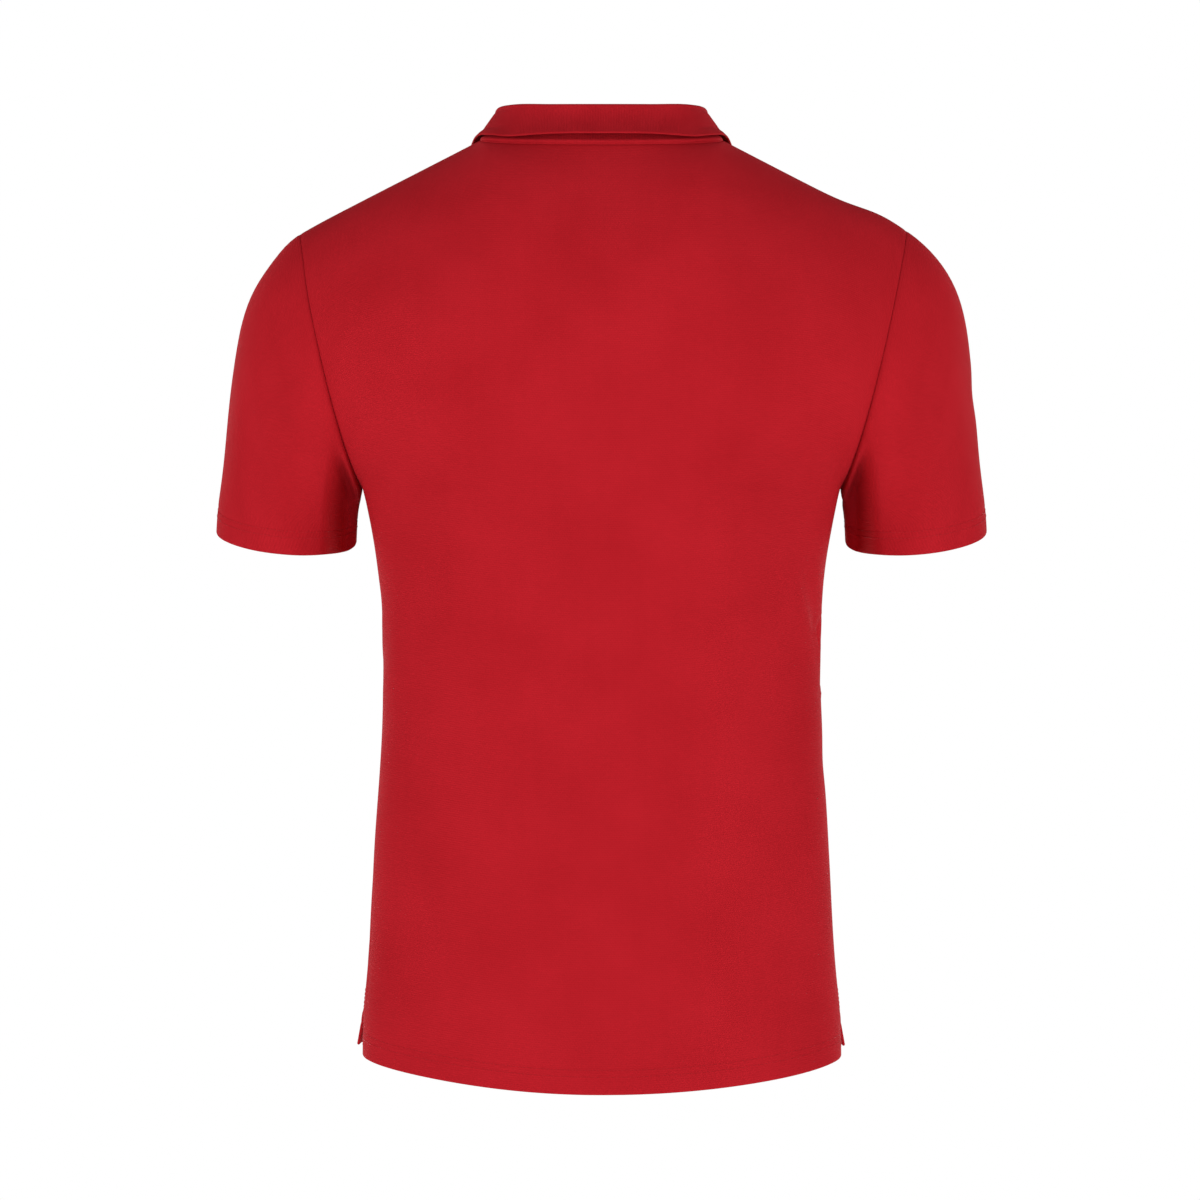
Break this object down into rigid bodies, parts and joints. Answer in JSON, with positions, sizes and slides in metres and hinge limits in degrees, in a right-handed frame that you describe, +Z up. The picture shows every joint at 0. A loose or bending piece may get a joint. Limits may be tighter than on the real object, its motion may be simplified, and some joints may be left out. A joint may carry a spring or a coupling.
{
  "type": "polo shirt",
  "caption": "Short-sleeved red knit polo shirt with a turned-down collar, a buttoned placket and side vents, filled out with no wearer.",
  "frame": {"origin": "between the two points where the shoulder seams meet the neck, 10 mm in front of the line that joins them, where the wearer's shoulders hold the shirt up", "axes": "+Z up towards the collar; -Y is the front with the placket; +X is the wearer's left"},
  "size_m": [0.582, 0.2461, 0.7301],
  "materials": {
    "red_knit": "matte",
    "red_button": "semi-gloss"
  },
  "bodies": {
    "root": {"back": "red_knit", "front": "red_knit", "sleeve_left": "red_knit", "sleeve_right": "red_knit", "collar_stand": "red_knit", "collar_leaf": "red_knit", "placket_under": "red_knit", "placket_upper": "red_knit", "button_1": "red_button", "button_2": "red_button", "button_3": "red_button"}
  },
  "joints": []
}
